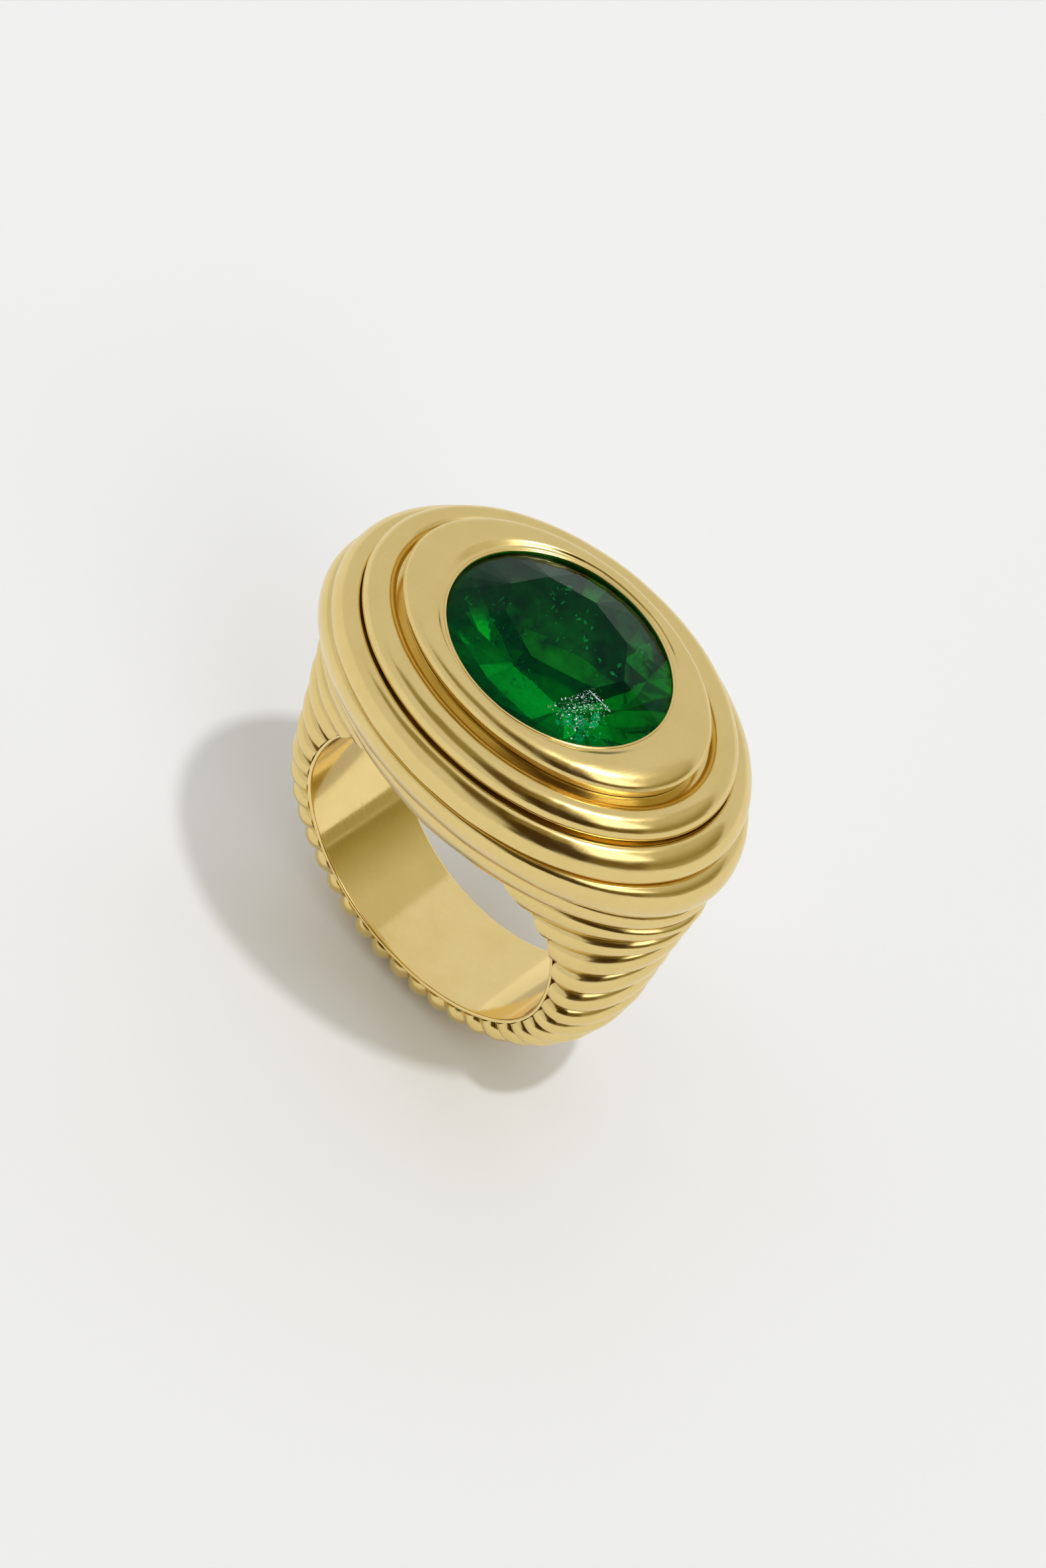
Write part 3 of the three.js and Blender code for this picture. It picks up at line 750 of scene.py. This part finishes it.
for node, obj in gold.items():
    if node in ("shoulder_left", "shoulder_right", "lower_shank"):
        kind, mat = "flute", "shank"
    elif node == "liner_band":
        kind, mat = "bore", "polished"
    elif node == "bezel_collar":
        kind, mat = "oval", "collar"
    else:
        kind, mat = "oval", "satin"
    add_flow(obj, kind)
    obj.data.materials.clear()
    obj.data.materials.append(mats[mat])


def emerald_material(name, rough_lo, rough_hi, clear=1.0, tint=((0.02, 0.72, 0.24, 1), (0.06, 0.92, 0.40, 1)), cloud=(0.3, 0.7)):
    mat = bpy.data.materials.new(name)
    nt, new, link = nodes_of(mat)
    out = new("ShaderNodeOutputMaterial")
    sh = new("ShaderNodeBsdfPrincipled")
    link(sh.outputs["BSDF"], out.inputs["Surface"])
    sh.inputs["IOR"].default_value = 1.5
    sh.inputs["Specular Tint"].default_value = (0.02, 0.55, 0.24, 1)
    sh.inputs["Transmission Weight"].default_value = clear
    tc = new("ShaderNodeTexCoord")
    m = new("ShaderNodeMapping")
    m.inputs["Scale"].default_value = (1000, 1000, 1000)
    link(tc.outputs["Object"], m.inputs["Vector"])
    n = new("ShaderNodeTexNoise")
    n.inputs["Scale"].default_value = 0.7
    n.inputs["Detail"].default_value = 4
    link(m.outputs["Vector"], n.inputs["Vector"])
    mix = new("ShaderNodeMix")
    mix.data_type = "RGBA"
    mix.inputs["A"].default_value = tint[0]
    mix.inputs["B"].default_value = tint[1]
    c_ = new("ShaderNodeMapRange")
    c_.inputs["From Min"].default_value, c_.inputs["From Max"].default_value = cloud
    link(n.outputs["Fac"], c_.inputs["Value"])
    # the cloudiness fades from the keel to the girdle
    parts = new("ShaderNodeSeparateXYZ")
    link(m.outputs["Vector"], parts.inputs[0])
    fade = new("ShaderNodeMapRange")
    fade.inputs["From Min"].default_value, fade.inputs["From Max"].default_value = 25.4, 27.6
    fade.inputs["To Min"].default_value, fade.inputs["To Max"].default_value = 1.0, 0.30
    link(parts.outputs["Z"], fade.inputs["Value"])
    both = new("ShaderNodeMath")
    both.operation = "MULTIPLY"
    link(c_.outputs["Result"], both.inputs[0])
    link(fade.outputs["Result"], both.inputs[1])
    link(both.outputs[0], mix.inputs["Factor"])
    link(mix.outputs["Result"], sh.inputs["Base Color"])
    r = new("ShaderNodeMapRange")
    r.inputs["From Min"].default_value = 0.35
    r.inputs["From Max"].default_value = 0.7
    r.inputs["To Min"].default_value = rough_lo
    r.inputs["To Max"].default_value = rough_hi
    n2 = new("ShaderNodeTexNoise")
    n2.inputs["Scale"].default_value = 2.5
    n2.inputs["Detail"].default_value = 5
    link(m.outputs["Vector"], n2.inputs["Vector"])
    link(n2.outputs["Fac"], r.inputs["Value"])
    link(r.outputs["Result"], sh.inputs["Roughness"])
    vol = new("ShaderNodeVolumeAbsorption")
    vol.inputs["Color"].default_value = (0.0, 0.90, 0.36, 1)
    vol.inputs["Density"].default_value = 310.0
    link(vol.outputs["Volume"], out.inputs["Volume"])
    return mat


gem.data.materials.append(emerald_material("emerald_crown", 0.0, 0.03, tint=((0.004, 0.30, 0.08, 1), (0.03, 0.85, 0.34, 1)), cloud=(0.40, 0.68)))
gem.data.materials.append(emerald_material("emerald_pavilion", 0.03, 0.12, clear=0.74, tint=((0.0, 0.02, 0.004, 1), (0.01, 0.92, 0.34, 1)), cloud=(0.34, 0.62)))
# The third copy, in a lighter tint, is painted light: it goes on the table and on the crown facets at the lower right
# of the table.
gem.data.materials.append(emerald_material("emerald_painted_lit_facets", 0.0, 0.03, tint=((0.02, 0.86, 0.36, 1), (0.06, 0.98, 0.55, 1))))
for poly in gem.data.polygons:
    cx, cy = poly.center.x / MM, poly.center.y / MM
    light = poly.normal.z > 0.985 or (poly.normal.z > 0.1 and 2.9 < cx < 4.9 and -3.5 < cy < -1.2)
    poly.material_index = 1 if poly.normal.z < -0.1 else 2 if light else 0


def flake_material(name, dark, light, rough, metal=0.0):
    mat = bpy.data.materials.new(name)
    nt, new, link = nodes_of(mat)
    out = new("ShaderNodeOutputMaterial")
    sh = new("ShaderNodeBsdfPrincipled")
    link(sh.outputs["BSDF"], out.inputs["Surface"])
    sh.inputs["Roughness"].default_value = rough
    sh.inputs["Metallic"].default_value = metal
    tc = new("ShaderNodeTexCoord")
    n = new("ShaderNodeTexNoise")
    n.inputs["Scale"].default_value = 2600.0
    n.inputs["Detail"].default_value = 3
    link(tc.outputs["Object"], n.inputs["Vector"])
    mix = new("ShaderNodeMix")
    mix.data_type = "RGBA"
    mix.inputs["A"].default_value = dark
    mix.inputs["B"].default_value = light
    link(n.outputs["Fac"], mix.inputs["Factor"])
    link(mix.outputs["Result"], sh.inputs["Base Color"])
    return mat


jardin.data.materials.append(flake_material("emerald_veil", (0.02, 0.42, 0.20, 1), (0.25, 0.95, 0.60, 1), 0.35))
# each painted glint sits just under the facet above it
depth = bpy.context.evaluated_depsgraph_get()
placed = []
for x, y in painted_glint_spots:
    ok, where, *_ = gem.ray_cast(Vector((x * MM, y * MM, (TABLE_Z + 1 + FOOT) * MM)), Vector((0, 0, -1)))
    if ok:
        placed.append((x, y, where.z / MM - FOOT + 0.002))
for q in range(60):
    # a painted highlight: the bright line along the upper edge of that facet, drawn as a row of white flakes
    x, y = lerp(2.98, 4.34, q / 59), lerp(-1.26, -1.02, q / 59)
    ok, where, *_ = gem.ray_cast(Vector((x * MM, y * MM, (TABLE_Z + 1 + FOOT) * MM)), Vector((0, 0, -1)))
    if ok:
        placed.append((x, y, where.z / MM - FOOT + 0.004))
# Near-white, partly metallic flakes: painted glints and a painted highlight.
glint_flakes_painted = flakes("emerald_painted_glint_flakes", placed, 9, 0.02, 0.10, 0.6)
glint_flakes_painted.data.materials.append(flake_material("painted_glint_tint", (0.70, 0.97, 1.0, 1), (0.95, 1.0, 1.0, 1), 0.18, metal=0.45))
# painted light beside it: light green flakes standing in for a bright patch of light in the stone
window = []
for _ in range(40):
    x, y = 3.75 + rng.normal() * 0.55, -2.55 + rng.normal() * 0.5
    ok, where, *_ = gem.ray_cast(Vector((x * MM, y * MM, (TABLE_Z + 1 + FOOT) * MM)), Vector((0, 0, -1)))
    if ok and math.hypot(x / GIRDLE["a"], y / GIRDLE["b"]) < 0.9:
        window.append((x, y, where.z / MM - FOOT - 0.32 - 0.35 * rng.random()))
flash = flakes("emerald_painted_flash_flakes", window, 12, 0.10, 0.42, 0.7)
flash.data.materials.append(flake_material("painted_flash_tint", (0.05, 0.85, 0.50, 1), (0.45, 1.0, 0.80, 1), 0.2))

# ---------------------------------------------------------------- stage
W = bpy.data.worlds.new("studio")
bpy.context.scene.world = W
W.use_nodes = True
nt = W.node_tree
nt.nodes.clear()
new, link = nt.nodes.new, nt.links.new
w_out = new("ShaderNodeOutputWorld")
bg = new("ShaderNodeBackground")
link(bg.outputs[0], w_out.inputs["Surface"])
w_tc = new("ShaderNodeTexCoord")


def math_node(op, *vals):
    n = new("ShaderNodeMath")
    n.operation = op
    for i, v in enumerate(vals):
        if isinstance(v, (int, float)):
            n.inputs[i].default_value = v
        else:
            link(v, n.inputs[i])
    return n.outputs[0]


def step(value, at, soft, rising=True):
    n = new("ShaderNodeMapRange")
    n.interpolation_type = "SMOOTHSTEP"
    n.inputs["From Min"].default_value = at - soft / 2
    n.inputs["From Max"].default_value = at + soft / 2
    n.inputs["To Min"].default_value = 0 if rising else 1
    n.inputs["To Max"].default_value = 1 if rising else 0
    if isinstance(value, (int, float)):
        n.inputs["Value"].default_value = value
    else:
        link(value, n.inputs["Value"])
    return n.outputs["Result"]


w_sep = new("ShaderNodeSeparateXYZ")
link(w_tc.outputs["Generated"], w_sep.inputs[0])
elev = math_node("MULTIPLY", math_node("ARCSINE", w_sep.outputs["Z"]), 180 / math.pi)


def azimuth_from(centre):
    """Degrees round from a direction, -180 to 180, so that a panel there has no seam."""
    c, s_ = math.cos(math.radians(centre)), math.sin(math.radians(centre))
    x = math_node("ADD", math_node("MULTIPLY", w_sep.outputs["X"], c), math_node("MULTIPLY", w_sep.outputs["Y"], s_))
    y = math_node("SUBTRACT", math_node("MULTIPLY", w_sep.outputs["Y"], c), math_node("MULTIPLY", w_sep.outputs["X"], s_))
    return math_node("MULTIPLY", math_node("ARCTAN2", y, x), 180 / math.pi)


def panel(az0, az1, el0, el1, soft=6.0, shear=0.0, floor_slope=0.0):
    """Mask of one panel of the studio: between two azimuths and two elevations. shear
    leans its far side, floor_slope lowers its lower edge along the azimuth."""
    mid = (az0 + az1) / 2
    a_ = azimuth_from(mid)
    far = math_node("SUBTRACT", a_, math_node("MULTIPLY", elev, shear)) if shear else a_
    low = math_node("ADD", elev, math_node("MULTIPLY", a_, floor_slope)) if floor_slope else elev
    m = math_node("MULTIPLY", step(a_, az0 - mid, soft), step(far, az1 - mid, soft, False))
    v = math_node("MULTIPLY", step(low, el0, soft), step(elev, el1, soft, False))
    return math_node("MULTIPLY", m, v)


def rising(el0, el1, v0, v1):
    """A level that climbs from v0 to v1 between two elevations."""
    n = new("ShaderNodeMapRange")
    n.inputs["From Min"].default_value, n.inputs["From Max"].default_value = el0, el1
    n.inputs["To Min"].default_value, n.inputs["To Max"].default_value = v0, v1
    link(elev, n.inputs["Value"])
    return n.outputs["Result"]


# the white room, then its darker openings and brighter soft lights, as azimuth
# and elevation in degrees, soft edge, and level
level = 0.74
PANELS = [
    (panel(-20, 33, 9.5, 66, 2.0, shear=0.7), rising(11, 46, 0.26, 0.58)),
    (panel(345, 395, -6, 9, 4), 0.36),
    (panel(214, 272, 36, 70, 7), 0.30),
    (panel(258, 292, 22, 66, 6, floor_slope=1.0), 0.10),
    (panel(280, 318, 40, 76, 8), 0.24),
    (panel(283, 318, -6, 46, 5), 0.05),
    (panel(316, 344, -6, 25, 6), 0.16),
    (panel(316, 350, 32, 70, 8), 2.1),
]
for mask, value in PANELS:
    m_ = new("ShaderNodeMix")
    m_.data_type = "FLOAT"
    link(mask, m_.inputs["Factor"])
    if isinstance(level, float):
        m_.inputs["A"].default_value = level
    else:
        link(level, m_.inputs["A"])
    if isinstance(value, float):
        m_.inputs["B"].default_value = value
    else:
        link(value, m_.inputs["B"])
    level = m_.outputs["Result"]
link(level, bg.inputs["Strength"])
# The darker a panel, the warmer: brown and olive cards, against a white room.
tint = new("ShaderNodeValToRGB")
stops = [(0.0, (1.0, 0.42, 0.0, 1)), (0.08, (1.0, 0.57, 0.07, 1)), (0.30, (1.0, 0.88, 0.36, 1)), (0.58, (1.0, 0.96, 0.80, 1)), (0.74, (0.99, 0.99, 1.0, 1))]
while len(tint.color_ramp.elements) < len(stops):
    tint.color_ramp.elements.new(0.5)
for element, (at, colour) in zip(tint.color_ramp.elements, stops):
    element.position, element.color = at, colour
link(level, tint.inputs["Fac"])
link(tint.outputs["Color"], bg.inputs["Color"])

key_data = bpy.data.lights.new("key", "SUN")
key_data.energy = 0.84
key_data.angle = math.radians(3.0)
key = bpy.data.objects.new("key", key_data)
bpy.context.scene.collection.objects.link(key)
KEY_AZ, KEY_EL = math.radians(-6), math.radians(78)
key_dir = Vector((math.cos(KEY_EL) * math.cos(KEY_AZ), math.cos(KEY_EL) * math.sin(KEY_AZ), math.sin(KEY_EL)))
key.rotation_euler = key_dir.to_track_quat("Z", "Y").to_euler()

bpy.ops.mesh.primitive_plane_add(size=3.0, location=(0, 0, 0))
floor = bpy.context.active_object
floor.name = "floor"
fm = bpy.data.materials.new("paper")
nt, new, link = nodes_of(fm)
o_ = new("ShaderNodeOutputMaterial")
d_ = new("ShaderNodeBsdfDiffuse")
d_.inputs["Color"].default_value = (0.95, 0.965, 1.0, 1)
link(d_.outputs[0], o_.inputs["Surface"])
floor.data.materials.append(fm)

# ---------------------------------------------------------------- camera
IMG_W, IMG_H = 1568, 2351
right = Vector((0.68976795, 0.68446671, 0.2360625))
up = Vector((-0.67400391, 0.48793213, 0.55465391))
back = Vector((0.26445966, -0.54168954, 0.79789318))
DIST, PX_MM = 216.252, 29.1241
AXIS_PX = (740.527, 1203.156)
eye = Vector((0, 0, 4.0 + FOOT)) + DIST * back
f_px = DIST * PX_MM
aim = right * ((IMG_W / 2 - AXIS_PX[0]) / f_px) - up * ((IMG_H / 2 - AXIS_PX[1]) / f_px) - back
back2 = -aim.normalized()
right2 = (right - right.dot(back2) * back2).normalized()
up2 = back2.cross(right2)
cam_data = bpy.data.cameras.new("camera")
cam = bpy.data.objects.new("camera", cam_data)
bpy.context.scene.collection.objects.link(cam)
cam.matrix_world = Matrix((
    (right2.x, up2.x, back2.x, eye.x * MM),
    (right2.y, up2.y, back2.y, eye.y * MM),
    (right2.z, up2.z, back2.z, eye.z * MM),
    (0, 0, 0, 1)))
cam_data.sensor_fit = "VERTICAL"
cam_data.sensor_height = 36
cam_data.lens = f_px * 36 / IMG_H
cam_data.clip_start, cam_data.clip_end = 0.01, 10
bpy.context.scene.camera = cam
bpy.context.scene.view_settings.view_transform = "Standard"
